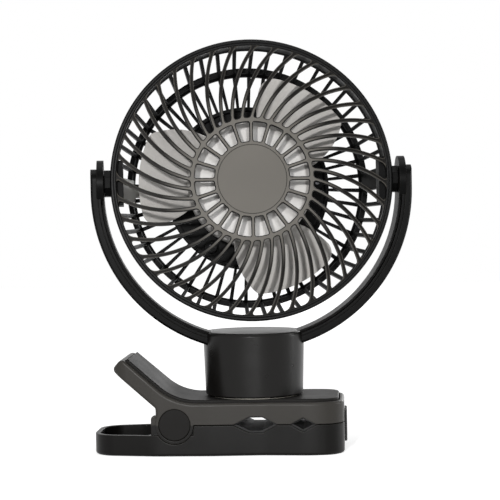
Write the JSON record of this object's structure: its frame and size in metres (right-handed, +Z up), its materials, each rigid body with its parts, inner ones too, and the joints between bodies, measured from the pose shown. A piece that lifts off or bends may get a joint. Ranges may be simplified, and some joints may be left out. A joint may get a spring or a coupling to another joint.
{
  "type": "clip fan",
  "caption": "Small rechargeable fan: a round tilting head in a U-shaped yoke on a turning round post, carried by a sprung clip with notched padded jaws.",
  "frame": {"origin": "on the clip's flat bottom, under the axis that the post turns on", "axes": "+Z up, +X along the clip from the handle to the jaws' mouth, -Y the way the fan blows"},
  "size_m": [0.174, 0.0856, 0.2222],
  "materials": {
    "clip_plastic": "satin moulded plastic, fine grain",
    "cover_plastic": "satin moulded plastic, fine grain",
    "rubber_pad": "soft matt rubber",
    "post_plastic": "satin moulded plastic",
    "yoke_plastic": "satin moulded plastic",
    "grille_plastic": "satin moulded plastic, warm grey",
    "bowl_plastic": "satin moulded plastic",
    "button_plastic": "satin moulded plastic",
    "pale_plastic": "matt pale grey plastic",
    "impeller_plastic": "pale grey glossy plastic",
    "nylon": "natural nylon",
    "steel": "plated steel",
    "spring_steel": "drawn spring wire",
    "motor_metal": "zinc plated steel",
    "copper": "enamelled copper wire",
    "magnet": "ferrite",
    "battery_wrap": "shrink wrap",
    "board": "green solder mask",
    "light_pipe": "clear acrylic rod"
  },
  "bodies": {
    "lower_jaw": {"lower_jaw": "clip_plastic", "lower_jaw_pad": "rubber_pad", "hinge_pin": "steel", "spring_sleeve": "nylon", "clip_spring": "spring_steel"},
    "upper_jaw": {"upper_jaw": "clip_plastic", "top_cover": "cover_plastic", "upper_jaw_pad": "rubber_pad", "hinge_caps": "cover_plastic", "swivel_hub": "nylon", "swivel_washer": "steel", "swivel_screw": "steel", "glide_ring": "nylon"},
    "post": {"post_shell": "post_plastic", "post_top": "post_plastic", "battery_pack": "battery_wrap", "control_board": "board", "usb_socket": "steel", "tact_switch": "nylon", "light_pipes": "light_pipe", "yoke_outer": "yoke_plastic", "yoke_inner": "yoke_plastic", "yoke_screws": "steel"},
    "button": {"power_button": "button_plastic"},
    "head": {"front_grille": "grille_plastic", "rear_grille": "bowl_plastic", "rear_cover": "bowl_plastic", "cover_screws": "steel", "pivot_washers": "steel", "pivot_screws": "steel", "wire_cover": "pale_plastic", "motor_base": "motor_metal", "motor_screws": "steel", "stator_core": "motor_metal", "stator_coils": "copper", "bearings": "steel"},
    "impeller": {"impeller": "impeller_plastic", "rotor_can": "motor_metal", "magnet_ring": "magnet", "shaft": "steel"}
  },
  "joints": [
    {"name": "jaw_open", "type": "hinge", "parent": "lower_jaw", "child": "upper_jaw", "pos_m": [-0.0415, 0, 0.0168], "axis": [0, -1, 0], "range_deg": [0, 28], "stiffness_Nm_per_rad": 0.9, "springref_deg": -68.75, "deforming": ["clip_spring"]},
    {"name": "swivel", "type": "hinge", "parent": "upper_jaw", "child": "post", "pos_m": [0, 0, 0.0303], "axis": [0, 0, 1], "continuous": true},
    {"name": "tilt", "type": "hinge", "parent": "post", "child": "head", "pos_m": [0, 0, 0.1456], "axis": [0.9945, 0.1045, 0], "continuous": true},
    {"name": "spin", "type": "hinge", "parent": "head", "child": "impeller", "pos_m": [0, 0, 0.1456], "axis": [-0.1041, 0.9907, -0.0872], "continuous": true},
    {"name": "button_press", "type": "slide", "parent": "post", "child": "button", "axis": [0.1045, -0.9945, 0], "range_m": [0, 0.0008], "stiffness_N_per_m": 600}
  ]
}
